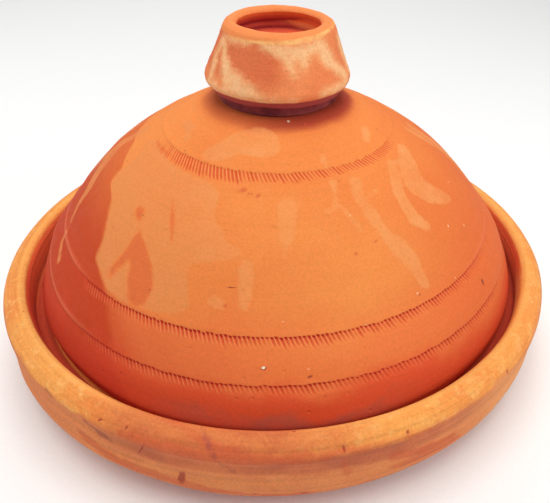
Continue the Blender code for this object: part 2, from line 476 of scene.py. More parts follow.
# small marks: (azimuth, height, tilt from upright, half length, half width, depth)
DOME_MARKS = {
    "pit": (
        (-3.9, 67.8, 80, 1.35, 0.75, 0.4), (-12, 93, 84, 1.8, 0.25, 0.35), (55, 69, 8, 1.7, 1.05, 0.3),
        (5, 64, 75, 1.1, 0.5, 0.35), (118, 96, 70, 1.2, 0.8, 0.3), (160, 84, 20, 1.4, 0.7, 0.3),
        (-150, 100, 80, 2.2, 0.4, 0.3),
    ),
    "lime": (
        (-4, 68, 80, 0.85, 0.5, 0.3), (54, 95, 30, 0.6, 0.4, 0.1), (61, 90, 0, 0.4, 0.35, 0.1),
        (46, 79, 60, 0.6, 0.22, 0.1), (33, 82, 60, 0.7, 0.22, 0.1), (8, 137, 0, 0.6, 0.6, 0.1),
        (-120, 72, 60, 1.2, 0.9, 0.4),
    ),
    "smear": (
        (-13, 87, 70, 1, 0.7, 0.2), (-14, 120, 70, 1.8, 1.1, 0.1), (-8, 119, 40, 1.3, 0.8, 0.1),
        (20, 101, 60, 0.8, 0.7, 0.15), (27, 103, 60, 0.8, 0.4, 0.1), (21, 136, 0, 0.9, 0.7, 0.1),
        (38, 61, 70, 1.2, 0.5, 0.2), (-19, 72, 80, 1.4, 0.3, 0.1),
    ),
}


def unseen_washes():
    """More runs of slip round the back of the lid, where they can't be seen from the front."""
    rng = np.random.default_rng(41)
    strokes = []
    for azimuth in np.arange(84, 270, 13):
        a = azimuth + rng.uniform(-5, 5)
        top = rng.uniform(112, 122)
        width = rng.uniform(1.6, 5.5)
        drift = rng.uniform(-4, 4)
        bottom = top - rng.uniform(14, 40)
        middle = (top + bottom) / 2
        strokes.append(
            ((a, top, width), (a + drift, middle, width * 0.9), (a + drift * 1.4, bottom, width * 0.5))
        )
    return tuple(strokes)


def dome_rings(outline, rim):
    """Rings from the crown to the inside, dense where the tool bands are."""
    rings = [Ring(0, 1)] + rows(2.5, CROWN_HIDDEN, 2.5, DOME_HIDDEN_POINTS)
    here, turn = CROWN_HIDDEN, 0
    for number, band in enumerate(BANDS):
        start = outline.find(band["top"]) - BAND_LEAD
        end = start + band["length"] + BAND_TAIL + band["again"]
        rings += rows(here, start, 1.75, DOME_POINTS, turn)
        radius, _ = outline.at(start + 2.5)
        previous = start
        for w in band_rows(start, end):
            turn += band["lean"] * (w - previous) / radius
            previous = w
            rings.append(Ring(w, len(band["across"]) * band["marks"], turn, number))
        here = end + 0.5
    rings += rows(here, rim, 1.7, DOME_POINTS, turn)
    rings += rows(rim, rim + 22, 1.1, DOME_EDGE_POINTS, turn)
    rings += rows(rim + 22, outline.length - 3, 4, DOME_HIDDEN_POINTS, turn)
    return rings + [Ring(outline.length, 1)]


def band_rows(start, end):
    """Rows across a band: close together at the top edge, wider towards its faded end."""
    top_edge = [start + step for step in (0, 0.45, 0.8, 1, 1.2, 1.5, 1.9)]
    return top_edge + list(np.arange(start + 2.4, end - 0.1, 0.95)) + [end]


def band_relief(wall, outline):
    """Depth of the tool's marks at each point in mm, the painted shadow at their top edge and the painted
    highlight on the clay between.
    """
    rng = np.random.default_rng(5)
    depth, edge_shadow, crest_highlight = (np.zeros(len(wall.where)) for _ in range(3))
    slow = ripples(11, 9, 80)
    quick = ripples(12, 60, 30)
    for number, band in enumerate(BANDS):
        mine = wall.band == number
        across = np.array(band["across"])
        mark = (wall.column[mine] // len(across)) % band["marks"]
        phase = across[wall.column[mine] % len(across)]
        strength = rng.normal(1, 0.16, band["marks"])[mark]
        shift = rng.normal(0, 0.16, band["marks"])[mark]
        size = rng.normal(1, 0.1, band["marks"])[mark]
        azimuth, angle = wall.azimuth[mine], wall.angle[mine]
        below = wall.where[mine] - outline.find(band["top"]) + shift
        down = below / (band["length"] * size)
        fall = 0.3 if band["again"] else 0.95 - 0.45 * ease(azimuth, -25, 15)
        cut = ease(down, -0.03, 0.06) * np.clip(1 - down, 0, 1) ** fall
        press = 0.86 + 0.22 * slow(angle, 0) + 0.12 * quick(angle, 0)
        press = np.clip(press, 0.25, 1.25) * band_fade(band, azimuth)
        depth[mine] = band["depth"] * strength * phase * press * cut
        if band["again"]:
            second = (below - 3.9) / (band["length"] * 0.8 * size)
            again = ease(second, -0.03, 0.09) * np.clip(1 - second, 0, 1) ** 0.85
            here = ease(azimuth, -78, -66) * ease(azimuth, -8, -20)
            depth[mine] = np.maximum(depth[mine], 0.8 * band["depth"] * strength * phase * again * here)
        share = 0.2 if band["again"] else 1
        # painted shadow under the steep top edge of each mark
        edge_shadow[mine] = share * phase * press * ease(down, -0.05, 0.02) * ease(down, 0.32, 0.1)
        # painted highlight on the raised clay between the marks
        crest_highlight[mine] = (1 - phase) * press * ease(down, 0.02, 0.12) * ease(down, 1, 0.75)
    return depth, edge_shadow, crest_highlight


def band_fade(band, azimuth):
    """How strongly the tool was pressed round the pot, from 0 to 1."""
    left = ease(azimuth, *band["left"])
    right = band["least"] + (1 - band["least"]) * ease(azimuth, *band["right"])
    return np.maximum(left * right, band["most"] * ease(np.abs(azimuth), *band["back"]))


def band_ledges(wall, outline):
    """Each band lies in a faint trough under a soft raised line, which shows where the marks fade out."""
    push = np.zeros(len(wall.where))
    ridge = np.zeros(len(wall.where))
    for band in BANDS:
        below = wall.where - outline.find(band["top"])
        plain = 1 - band_fade(band, wall.azimuth)
        line = hump(below + 0.5, 0.75)
        push += (0.1 + 0.2 * plain) * line - 0.16 * hump(below - 2.4, 2.6)
        if not band["again"]:
            ridge = np.maximum(ridge, plain * line)
    return push, ridge


def dome_inside():
    """The inside of the dome: the outside moved in by the wall's thickness."""
    outside = Outline(DOME_OUTSIDE)
    where = np.linspace(outside.find(45), 0.4, 14)
    radius, height = outside.at(where)
    nr, nz = outside.normal(np.clip(where, 0.5, outside.length - 0.5))
    inner = np.stack([radius - DOME_WALL * nr, height - DOME_WALL * nz], axis=1)
    return [SEAT_INNER, *inner[:-1].tolist(), (0, DOME_TOP - DOME_WALL)]


def climb(wall, outline):
    """The lowest band runs a little uphill on the far left: how far each point moves down the outline."""
    left = ease(wall.azimuth, -50, -84) * ease(wall.azimuth, -165, -110)
    return -4 * left * hump(wall.where - outline.find(BANDS[2]["top"]), 8)


def paint_dome(wall, outline, below_rim):
    """Signed distances inside the pale slip, the bare gaps in it and the redder left side, in mm."""
    wash = inside_strokes(wall.place(0), outline, RUNS + unseen_washes())
    for shape in SMALL_WASHES:
        wash = np.maximum(wash, inside_shape(wall, outline, shape))
    gaps = [inside_shape(wall, outline, shape) for shape in RED_GAPS]
    big = np.minimum(inside_shape(wall, outline, BIG_WASH), -inside_shape(wall, outline, PLAIN_GAP))
    for gap in gaps:
        big = np.minimum(big, -gap)
    wash = np.where(below_rim, OUTSIDE, np.maximum(wash, big))
    bare = np.where(below_rim, OUTSIDE, np.maximum(OUTSIDE, np.max(gaps, axis=0)))
    line = np.interp(
        wall.height, [height for height, _ in BLUSH_LINE], [azimuth for _, azimuth in BLUSH_LINE]
    )
    blush = np.clip((line - wall.azimuth) * 1.7, OUTSIDE, 9)
    blush = blush - 24 * ease(wall.azimuth, -105, -175)
    return {"wash": wash, "blush": blush, "bare": bare}


def build_dome():
    outline = Outline(DOME_OUTSIDE, DOME_EDGE, DOME_SEAT, dome_inside())
    rim = outline.find(DOME_FOOT[1] + 0.2)
    wall = Wall(outline, dome_rings(outline, rim))
    w = wall.where
    outside = ease(w, rim + 20, rim + 14)
    shown = ease(w, 22, 40)
    wobble = wall.ripples(21, 4, 160)
    lumps = wall.ripples(22, 14, 26)
    lines = wall.ripples(23, 2, 5.2, 22)
    push = -0.42 + 0.2 * wobble + 0.1 * lumps + 0.045 * lines
    push = push * outside * shown - 0.35 * (1 - outside)
    spiral = np.sin(TURN * w / 8.5 + wall.angle) * 0.35 * ease(w, rim + 26, rim + 34)
    dents, edge_shadow, crest_highlight = band_relief(wall, outline)
    ledges, ridge = band_ledges(wall, outline)
    squash = ease(wall.azimuth, -22, -48) * ease(wall.azimuth, -125, -90)
    squash = 0.9 * squash * ease(wall.height, 66, 46) * outside
    wall.push = np.minimum(push + ledges * outside, 0) - dents + spiral - squash
    near_seat = ease(np.abs(wall.height - DOME_RIM), 6, 0.5)
    wall.push = wall.push * (1 - near_seat) - (0.15 + squash) * near_seat
    wall.shift(climb(wall, outline))
    values = paint_dome(wall, outline, w >= rim + 3)
    values |= {"dent": dents, "edge_shadow": edge_shadow, "ridge": ridge, "crest_highlight": crest_highlight}
    marks, cut = place_marks(wall.place(), outline, DOME_MARKS)
    wall.push = wall.push - cut
    return make_piece(
        "tagine_lid_dome", wall.place(), wall.faces(), values | marks, "lid", "lid_dome"
    )


# -------- base dish

# reddish stains on the lip and wall, and dark smoky ones, as strokes of (azimuth, height, half width)
DISH_STAINS = (
    ((-27, 46, 1.6), (-18, 46, 3.2), (-8, 45.5, 2.6), (2, 45, 2.6), (8, 46, 2), (16, 45.5, 1.4), (24, 44, 1)),
    ((-20, 50, 2), (-12, 49, 3), (-8, 48, 2)),
    ((3, 46, 3), (6, 45, 2.6)),
    ((9, 41, 2), (10, 31, 2.6)),
    ((-8, 19, 2.2), (0, 17, 2), (4, 18, 1.6)),
    ((18, 26, 2), (24, 25, 2.2), (32, 24, 1.6)),
    ((-36, 32, 3), (-28, 25, 4.2), (-18, 22, 4.6), (-8, 20, 3.2)),
    ((18, 34, 3), (24, 30, 3.6), (30, 28, 2.6)),
    ((100, 44, 2.2), (130, 45, 2.6), (150, 44, 1.6)),
    ((-100, 44, 1.8), (-130, 42, 2.6), (-160, 44, 2)),
    ((170, 30, 3), (178, 22, 2)),
)
DISH_SMOKE = (
    ((-34, 44, 1.6), (-31, 40, 2.4), (-29, 38, 1.6)),
    ((-14, 51, 1), (-12, 49, 1.4), (-11, 46, 1.2), (-10, 41, 1.4), (-8, 37, 1.8)),
    ((-44, 46, 0.9), (-42, 45, 1.2)),
    ((140, 38, 2), (146, 34, 2.4)),
)
DISH_MARKS = {
    "pit": (
        (9.1, 47, -8, 1.5, 0.55, 0.8), (-23, 41.5, 28, 4.6, 0.45, 0.4), (-17, 27, 12, 4.6, 1.5, 0.5),
        (1.4, 51.3, 80, 0.7, 0.5, 0.25), (20, 47, 30, 0.8, 0.6, 0.2), (-31, 47.5, 60, 1.2, 0.5, 0.25),
        (-26, 48.5, 40, 0.8, 0.5, 0.2), (-5, 20, 80, 1.4, 0.6, 0.3), (3, 19, 70, 1.2, 0.7, 0.3),
        (44, 46, 40, 1, 0.6, 0.25), (95, 44, 70, 1.6, 0.6, 0.3), (150, 30, 30, 2.2, 0.9, 0.4),
        (-140, 36, 50, 1.8, 0.6, 0.3),
    ),
    "lime": (
        (-3.2, 49.3, 70, 0.7, 0.45, 0.15),
    ),
}


def build_dish():
    outline = Outline(DISH_FLOOR, DISH_LEDGE, DISH_LIP, DISH_OUTER, DISH_UNDER)
    floor_end = Outline(DISH_FLOOR).length
    lip_start = floor_end + Outline(DISH_LEDGE).length
    wall_start = lip_start + Outline(DISH_LIP).length
    foot = wall_start + Outline(DISH_OUTER).length
    rings = [Ring(0, 1)] + rows(3, floor_end, 3.2, DISH_HIDDEN_POINTS)
    rings += rows(floor_end, lip_start + 6, 1, DISH_HIDDEN_POINTS)
    rings += rows(lip_start + 6, wall_start, 0.42, DISH_POINTS)
    rings += rows(wall_start, foot, 0.9, DISH_POINTS)
    rings += rows(foot, outline.length - 3, 4, DISH_HIDDEN_POINTS)
    wall = Wall(outline, rings + [Ring(outline.length, 1)])
    w, azimuth, height = wall.where, wall.azimuth, wall.height
    on_lip = ease(w, lip_start + 4, lip_start + 12) * ease(w, wall_start + 2, wall_start - 6)
    on_wall = ease(w, wall_start - 4, wall_start + 4) * ease(w, foot, foot - 14)
    inside = ease(w, floor_end - 2, floor_end - 12)
    wobble = wall.ripples(31, 3, 220)
    lumps = wall.ripples(32, 16, 22)
    lines = wall.ripples(33, 3, 3.4, 26)
    broad = wall.ripples(34, 2, 9, 20)
    push = (-0.3 + 0.16 * wobble + 0.07 * lumps + 0.075 * lines + 0.05 * broad) * on_lip
    push += (-0.45 + 0.22 * wobble + 0.18 * lumps + 0.07 * lines + 0.1 * broad) * on_wall
    push += (np.sin(TURN * w / 9 + wall.angle) * 0.25 - 0.2) * inside
    neck = hump(height - 39.6 - 0.6 * wobble, 3) * ease(w, wall_start - 5, wall_start)
    push -= (1 + 0.35 * wall.ripples(35, 4, 500)) * neck * ease(w, foot, foot - 14)
    bulge = 1.5 * ease(azimuth, -72, -52) * ease(azimuth, -18, -34)
    push += bulge * hump(height - 25, 9) * on_wall
    wall.push = np.minimum(push, 0.35 * inside + 1 * on_wall)
    points = wall.place()
    outer = lip_start + 14
    values = {
        "stain": inside_strokes(points, outline, DISH_STAINS, outer),
        "smoke": inside_strokes(points, outline, DISH_SMOKE, outer),
    }
    marks, cut = place_marks(points, outline, DISH_MARKS, outer)
    wall.push = wall.push - cut
    points = wall.place()
    points[:, 2] = np.maximum(points[:, 2], 0)
    return make_piece(
        "tagine_base_dish", points, wall.faces(), values | marks, "dish", "base_dish"
    )


# -------- knob and collar

# cream lime bloom on the knob, as strokes of (azimuth, height, half width)
BLOOM = (
    ((-66, 168, 1.8), (-70, 160, 2.6), (-66, 153, 2)),
    ((-100, 165, 5), (-104, 152, 5)),
    ((-58, 170, 2), (-30, 170.5, 0.8)),
    ((-54, 161, 2.2), (-43, 155, 4.2), (-29, 151, 4.2), (-15, 149, 2)),
    ((-14, 170, 1.4), (4, 168, 3.2), (20, 167, 3.2), (36, 169, 2.2)),
    ((5, 168, 3.2), (9, 163, 2.4), (11, 160, 1.2)),
    ((23, 167, 2.6), (21, 162, 1.8)),
    ((40, 169, 3.2), (46, 164, 4.2), (54, 159, 3.4), (68, 152, 2.6)),
    ((80, 166, 4), (84, 153, 4)),
    ((-66, 148.5, 2.6), (-40, 147.6, 2.5), (-22, 147.2, 2.2), (-4, 147, 1.3), (12, 147, 1)),
    ((34, 148.5, 1.4), (50, 149, 2.2), (66, 149, 2.2)),
    ((-66, 168, 2), (-60, 166, 2.4), (-56, 162, 1.6)),
    ((110, 168, 3), (118, 158, 3.4), (112, 150, 3)),
    ((140, 166, 2.6), (160, 168, 3.2), (178, 166, 2.4)),
    ((160, 156, 2.8), (175, 150, 3.4)),
    ((-140, 168, 3.2), (-148, 158, 2.8)),
    ((-165, 152, 2.6), (-130, 149, 2.8)),
)


def build_knob():
    outline = Outline(KNOB_CUP, KNOB_LIP, KNOB_SIDE, KNOB_UNDER)
    lip_start = Outline(KNOB_CUP).length
    side_start = lip_start + Outline(KNOB_LIP).length
    side_end = side_start + Outline(KNOB_SIDE).length
    rings = [Ring(0, 1)] + rows(2, lip_start - 6, 2, KNOB_POINTS)
    rings += rows(lip_start - 6, side_start, 0.45, KNOB_POINTS)
    rings += rows(side_start, side_end, 0.6, KNOB_POINTS)
    rings += rows(side_end, outline.length - 2, 1.6, KNOB_POINTS)
    wall = Wall(outline, rings + [Ring(outline.length, 1)])
    w = wall.where
    wobble = wall.ripples(51, 3, 60)
    lumps = wall.ripples(52, 11, 14)
    fine = wall.ripples(53, 26, 6, 24)
    lines = wall.ripples(54, 2, 3, 20)
    outer = ease(w, lip_start - 8, lip_start) * ease(w, side_end + 3, side_end - 1)
    wall.push = np.minimum((-0.36 + 0.2 * wobble + 0.09 * lumps + 0.05 * fine + 0.04 * lines) * outer, 0)
    rings_inside = ease(w, lip_start + 1.5, lip_start - 1) * ease(w, 10, 14)
    wall.push -= 0.2 * (1 - outer) + 0.25 * np.sin(TURN * w / 3.4) * rings_inside
    points = wall.place()
    values = {"bloom": inside_strokes(points, outline, BLOOM, lip_start + 4)}
    points[:, 0] += ease(points[:, 2], 144, 172)  # the knob leans 1 mm towards +X
    return make_piece("tagine_lid_knob", points, wall.faces(), values, "lid", "lid_knob")


def build_collar():
    dome = Outline(DOME_OUTSIDE)
    inner, outer = 20.5, COLLAR_RADIUS
    above_dome = 0.4
    seat = [
        (r, float(np.interp(r, dome.points[:, 0], dome.points[:, 1])) + above_dome)
        for r in (inner, 24, 27, outer)
    ]
    waist = (outer - 0.9, (COLLAR_TOP + seat[-1][1]) / 2)
    side = (seat[-1], waist, (outer, COLLAR_TOP))
    outline = Outline(
        seat, side, ((outer, COLLAR_TOP), (inner, COLLAR_TOP)), ((inner, COLLAR_TOP), seat[0])
    )
    rings = rows(0, outline.length, 0.55, COLLAR_POINTS)
    wall = Wall(outline, rings)
    wall.push = 0.12 + 0.12 * wall.ripples(61, 15, 5)
    points = wall.place()
    last = len(points) - COLLAR_POINTS
    faces = wall.faces() + between(last, rings[-1], 0, rings[0])
    values = {"bloom": np.zeros(len(points))}
    return make_piece(
        "tagine_knob_collar", points, faces, values, "lid", "knob_luting_collar"
    )


# -------- clay materials


class Clay:
    """A clay material put together from named steps."""

    def __init__(self, name):
        self.material = bpy.data.materials.new(name)
        self.material.use_nodes = True
        self.tree = self.material.node_tree
        self.shader = self.tree.nodes["Principled BSDF"]
        self.colour = None
        self.place = self.add("ShaderNodeTexCoord").outputs["Object"]
        self.x, self.y, self.z = self.add("ShaderNodeSeparateXYZ", Vector=self.place).outputs
        flat = self.add("ShaderNodeCombineXYZ", X=self.x, Y=self.y).outputs[0]
        length = self.add("ShaderNodeVectorMath", "LENGTH")
        self.put(length.inputs[0], flat)
        self.radius = length.outputs["Value"]
        self.along = self.minus(self.z, self.radius)

    def add(self, kind, operation=None, **inputs):
        node = self.tree.nodes.new(kind)
        if operation:
            node.operation = operation
        for key, value in inputs.items():
            self.put(node.inputs[key], value)
        return node

    def put(self, socket, value):
        if isinstance(value, bpy.types.NodeSocket):
            self.tree.links.new(value, socket)
        elif isinstance(value, tuple) and socket.type == "RGBA":
            socket.default_value = (*value, 1)
        else:
            socket.default_value = value

    def math(self, operation, *values):
        node = self.add("ShaderNodeMath", operation)
        for socket, value in zip(node.inputs, values):
            self.put(socket, value)
        return node.outputs[0]

    def plus(self, a, b):
        return self.math("ADD", a, b)

    def minus(self, a, b):
        return self.math("SUBTRACT", a, b)

    def times(self, *values):
        product = values[0]
        for value in values[1:]:
            product = self.math("MULTIPLY", product, value)
        return product

    def gap(self, a, b):
        """Distance between two numbers."""
        return self.math("ABSOLUTE", self.minus(a, b))

    def span(self, value, low, high, out_low=0, out_high=1):
        """Maps low..high smoothly to out_low..out_high."""
        node = self.add("ShaderNodeMapRange")
        node.interpolation_type = "SMOOTHSTEP"
        for socket, number in zip(node.inputs, (value, low, high, out_low, out_high)):
            self.put(socket, number)
        return node.outputs[0]

    def shifted(self, spot, x, y, z):
        moved = self.add("ShaderNodeVectorMath", "ADD")
        self.put(moved.inputs[0], spot)
        self.put(moved.inputs[1], (x, y, z))
        return moved.outputs[0]

    def noise(self, scale, detail=3, rough=0.5, vector=None, shift=0, bend=0):
        spot = vector or self.place
        if shift:
            spot = self.shifted(spot, shift, shift * 0.7, -shift)
        node = self.add(
            "ShaderNodeTexNoise", Vector=spot, Scale=scale, Detail=detail, Roughness=rough, Distortion=bend
        )
        return node.outputs["Fac"]

    def sway(self, scale, amount, detail=4, rough=0.6):
        """Noise about zero, in the unit of the amount."""
        return self.times(self.minus(self.noise(scale, detail, rough), 0.5), amount)

    def ragged(self, value, scale, amount):
        """Makes the edge of a painted area uneven."""
        return self.plus(value, self.sway(scale, amount, rough=0.65))

    def streaks(self, around, along, detail=3, rough=0.55, shift=0):
        """Noise drawn out round the pot, as a turning tool leaves it. The numbers are waves per metre."""
        x = self.times(self.x, around)
        y = self.times(self.y, around)
        z = self.times(self.along, along)
        vector = self.add("ShaderNodeCombineXYZ", X=x, Y=y, Z=z).outputs[0]
        return self.noise(1, detail, rough, vector, shift)

    def specks(self, scale, size, share, shift=0):
        """Small round specks: share of the cells that hold one, size in cells."""
        spot = self.shifted(self.place, shift, shift, shift)
        cell = self.add("ShaderNodeTexVoronoi", Vector=spot, Scale=scale, Randomness=1)
        near = self.span(cell.outputs["Distance"], size, size * 0.45)
        pick = self.add("ShaderNodeSeparateColor", Color=cell.outputs["Color"]).outputs[0]
        return self.times(near, self.math("LESS_THAN", pick, share))

    def mix(self, share, a, b, blend="MIX"):
        node = self.tree.nodes.new("ShaderNodeMix")
        node.data_type = "RGBA"
        node.blend_type = blend
        self.put(node.inputs[0], share)
        self.put(node.inputs[6], a)
        self.put(node.inputs[7], b)
        return node.outputs[2]

    def paint(self, layer, *shares):
        """Lays a layer over the colour so far, as strongly as the product of the shares."""
        self.colour = self.mix(self.times(*shares), self.colour, layer)

    def value(self, name):
        node = self.add("ShaderNodeAttribute")
        node.attribute_name = name
        return node.outputs["Fac"]

    def tone(self, colour, amount):
        """Multiplies a colour by a grey amount."""
        grey = self.add("ShaderNodeCombineColor", Red=amount, Green=amount, Blue=amount).outputs[0]
        return self.mix(1, colour, grey, "MULTIPLY")

    def bump(self, height, distance, normal=None):
        node = self.add("ShaderNodeBump", Height=height, Distance=distance)
        if normal is not None:
            self.put(node.inputs["Normal"], normal)
        return node.outputs[0]

    def finish(self, colour, roughness, normal):
        self.put(self.shader.inputs["Base Color"], colour)
        self.put(self.shader.inputs["Roughness"], roughness)
        self.put(self.shader.inputs["Normal"], normal)
        self.shader.inputs["Specular IOR Level"].default_value = 0.25
        return self.material


GRIT = (0.3, 0.06, 0.03)
LIME_DUST = (0.85, 0.5, 0.26)
LIME = (0.88, 0.72, 0.5)
PIT_DARK = (0.26, 0.03, 0.02)
RED_SMEAR = (0.6, 0.085, 0.03)


def finish_clay(clay, smoothest, roughest, lines=0.00012, grain=0.0001):
    """The surface shared by all the pieces: uneven roughness, turning lines, sandy grain and small pits."""
    rough = clay.span(clay.noise(200, 3, 0.6), 0.2, 0.8, smoothest, roughest)
    normal = clay.bump(clay.streaks(10, 260, 2, 0.5, 3), lines * 2)
    normal = clay.bump(clay.streaks(16, 900, 3, 0.6), lines, normal)
    normal = clay.bump(clay.noise(1500, 3, 0.65), grain, normal)
    normal = clay.bump(clay.minus(1, clay.specks(300, 0.3, 0.05)), 0.0002, normal)
    return clay.finish(clay.colour, rough, normal)


def clay_grain(clay, strength=0.1, lines=0.08, grit=0.03):
    """Fine mottling, dark grit and pale lime specks."""
    fine = clay.span(clay.noise(900, 4, 0.7), 0.25, 0.75, 1 - strength, 1 + strength)
    drawn = clay.span(clay.streaks(9, 420, 4, 0.65, 7), 0.25, 0.75, 1 - lines, 1 + lines)
    clay.colour = clay.tone(clay.tone(clay.colour, fine), drawn)
    clay.paint(GRIT, clay.specks(230, 0.17, grit, 1.3), 0.5)
    clay.paint(LIME_DUST, clay.specks(200, 0.13, grit * 0.6, 2.9), 0.55)


def mark_mask(clay, kind, edge=0.35):
    """1 inside the chips or specks of one kind."""
    along, across = clay.value(kind + "_along"), clay.value(kind + "_across")
    size = clay.math("SQRT", clay.plus(clay.times(along, along), clay.times(across, across)))
    size = clay.plus(size, clay.sway(700, 1.4, 3, 0.5))
    return clay.times(clay.span(size, 1 + edge, 1 - edge), clay.span(clay.value(kind + "_near"), 0.2, 0.8))


def small_marks(clay, cut=PIT_DARK):
    """Colours the chips, lime specks and smears."""
    clay.paint(RED_SMEAR, mark_mask(clay, "smear", 0.6), 0.6)
    # darker inside the chips and pits
    clay.paint(cut, mark_mask(clay, "pit"), 0.8)
    clay.paint(LIME, mark_mask(clay, "lime", 0.25), 0.95)


def dome_ground(clay, cloud, height):
    """The fired clay: orange and redder at the sides, redder towards the foot partly as its own colour and
    partly as painted shade, with painted shade round the crown and a painted shadow round the collar.
    """
    span, plus, paint, x, z = clay.span, clay.plus, clay.paint, clay.x, clay.z
    broad = span(clay.noise(13, 4, 0.55, bend=0.4), 0.32, 0.68)
    clay.colour = clay.mix(broad, (0.745, 0.198, 0.043), (0.785, 0.243, 0.054))
    # redder lower down: partly the fired clay's own colour, partly painted shade from red light bounced off
    # the dish
    paint((0.76, 0.15, 0.038), span(height, 0.092, 0.066, 0, 0.75))
    paint((0.68, 0.12, 0.026), span(plus(x, cloud), 0.04, 0.1, 0, 0.68))
    # painted shade round the crown, under the knob
    crown = span(plus(clay.radius, clay.times(cloud, 0.3)), 0.045, 0.033, 0, 0.35)
    paint((0.66, 0.095, 0.03), crown)
    left = span(plus(x, cloud), 0, -0.06, 0, 0.6)
    paint((0.64, 0.108, 0.028), left, span(z, 0.081, 0.074))
    # painted shadow on the dome round the collar
    collar_shadow = span(plus(clay.radius, clay.times(cloud, 0.2)), 0.04, 0.0345, 0, 0.85)
    paint((0.4, 0.035, 0.02), collar_shadow, span(x, -0.025, 0.015, 0.4, 1))
    # painted shade, deep red, on the lowest part of the dome where it sits in the dish
    foot = plus(height, span(x, 0.03, 0.1, 0, 0.006))
    paint((0.7, 0.078, 0.022), span(foot, 0.0655, 0.0525, 0, 0.95))


def dome_blush(clay, height):
    """The deep red side, which ends at a sharp edge."""
    span = clay.span
    blush = clay.ragged(clay.value("blush"), 60, 4)
    red = clay.mix(span(clay.z, 0.118, 0.085), (0.65, 0.128, 0.026), (0.51, 0.043, 0.006))
    # the red is lighter low down: painted light against the shade of the dent there
    red = clay.mix(span(height, 0.066, 0.052), red, (0.64, 0.055, 0.018))
    clay.paint(red, span(blush, -16, 2, 0, 0.55), span(clay.z, 0.082, 0.074))
    clay.paint(red, span(blush, -2.5, 3, 0, 0.92))


def dome_slip(clay):
    """The pale slip, with painted shade that darkens it on the left, and the bare clay in its gaps."""
    span, x, z = clay.span, clay.x, clay.z
    slip = span(clay.noise(40, 3, 0.6, shift=2), 0.3, 0.7)
    slip = clay.mix(slip, (0.755, 0.268, 0.08), (0.78, 0.302, 0.096))
    # painted shade: the slip darker towards the left
    slip = clay.mix(span(x, -0.01, -0.05, 0, 0.85), slip, (0.71, 0.228, 0.063))
    run = clay.ragged(clay.ragged(clay.value("wash"), 70, 4), 240, 2.6)
    cover = clay.times(
        span(clay.noise(60, 4, 0.65), 0.25, 0.65, 0.4, 0.88),
        span(x, -0.02, -0.055, 0.78, 1),
        span(x, 0.03, 0.06, 1, 1.25),
        span(z, 0.119, 0.127, 1, 1.25),
    )
    clay.paint(slip, span(run, -0.8, 1.2), cover)
    bare = clay.ragged(clay.value("bare"), 160, 2.4)
    clay.paint((0.67, 0.128, 0.033), span(bare, -0.6, 1.6), span(x, -0.02, -0.045, 0.4, 0.8))


def dome_material():
    clay = Clay("dome_clay_fired")
    span, paint = clay.span, clay.paint
    cloud = clay.sway(26, 0.03)
    height = clay.plus(clay.z, cloud)
    dome_ground(clay, cloud, height)
    dome_blush(clay, height)
    dome_slip(clay)
    # a darker grey band in patches along the foot of the dome, front and back
    grey_patches = span(clay.noise(90, 4, 0.6), 0.3, 0.6, 0.3, 0.8)
    in_front = span(clay.math("ABSOLUTE", clay.x), 0.07, 0.02)
    paint((0.46, 0.095, 0.055), span(height, 0.0495, 0.0455), grey_patches, in_front)
    paint((0.76, 0.18, 0.085), clay.value("ridge"), 0.6)
    clay_grain(clay, 0.07, 0.02)
    # painted highlight on the clay between the tool marks
    paint((0.86, 0.32, 0.115), span(clay.value("crest_highlight"), 0.3, 0.9, 0, 0.34))
    # painted shade in the grooves of the tool marks, darker where they are deeper
    dent = span(clay.value("dent"), 0.06, 0.34, 0, 0.72)
    paint((0.6, 0.052, 0.016), dent, span(clay.z, 0.127, 0.118, 0.92, 1))
    # painted shadow under the top edge of each tool mark
    paint((0.47, 0.012, 0.008), span(clay.value("edge_shadow"), 0.15, 0.65, 0, 0.92))
    small_marks(clay)
    return finish_clay(clay, 0.72, 0.92, 0.00004, 0.00008)


def dish_lip(clay):
    """The pale, scuffed lip, with painted shade that makes it browner in front."""
    span, noise, paint, x, y, z = clay.span, clay.noise, clay.paint, clay.x, clay.y, clay.z
    broad = noise(14, 4, 0.6, bend=0.5)
    clay.colour = clay.mix(span(broad, 0.35, 0.65), (0.77, 0.228, 0.048), (0.82, 0.32, 0.07))
    paint((0.85, 0.41, 0.105), span(noise(75, 5, 0.65, shift=5, bend=0.8), 0.5, 0.66, 0, 0.5))
    paint((0.87, 0.46, 0.15), span(noise(210, 5, 0.7, shift=9, bend=0.3), 0.5, 0.66, 0, 0.55))
    paint((0.74, 0.185, 0.045), span(noise(170, 4, 0.65, shift=12), 0.58, 0.72, 0, 0.5))
    paint((0.86, 0.41, 0.105), span(clay.radius, 0.1425, 0.14), span(z, 0.0485, 0.0502), 0.65)
    # painted shade over the front of the lip: patchy, and lighter on its top
    front = clay.times(span(y, -0.108, -0.13), span(x, 0.05, -0.005), span(x, -0.088, -0.055))
    paint((0.56, 0.135, 0.042), front, span(broad, 0.35, 0.6, 0.95, 0.45))
    upper = span(clay.plus(z, clay.times(noise(60, 4), 0.003)), 0.05, 0.052)
    paint((0.7, 0.215, 0.06), front, upper, 0.5)
    patchy = span(noise(95, 5, 0.7, shift=15, bend=0.6), 0.46, 0.62, 0, 0.55)
    paint((0.52, 0.11, 0.04), front, patchy)


